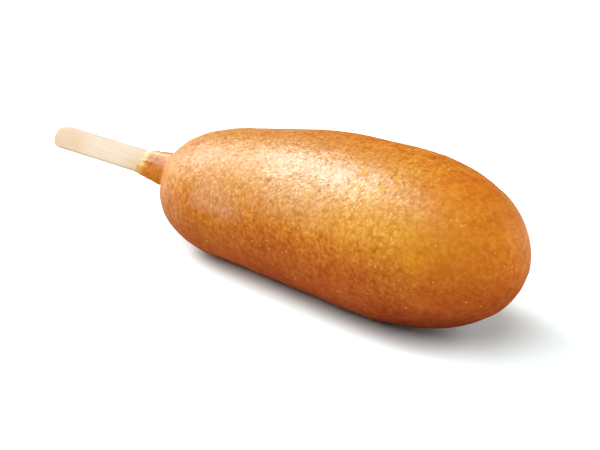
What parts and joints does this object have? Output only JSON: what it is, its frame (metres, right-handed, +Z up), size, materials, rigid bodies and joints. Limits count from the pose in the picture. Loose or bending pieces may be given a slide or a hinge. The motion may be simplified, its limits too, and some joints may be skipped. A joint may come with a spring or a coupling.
{
  "type": "corn dog",
  "caption": "Fried corn dog lying on its side: a club-shaped body of batter, fatter at the tip, with a thin collar on a flat wooden stick.",
  "frame": {"origin": "on the ground, under the middle of the whole object's box", "axes": "+X along the corn dog towards its tip, with the stick at -X; +Z up"},
  "size_m": [0.1599, 0.0392, 0.0386],
  "materials": {
    "batter": "fried batter, golden brown, fine pitted grain with a soft oily sheen",
    "wood": "bare pale wood, fine straight grain, rounded edges"
  },
  "bodies": {
    "root": {"batter": "batter", "stick": "wood"}
  },
  "joints": []
}
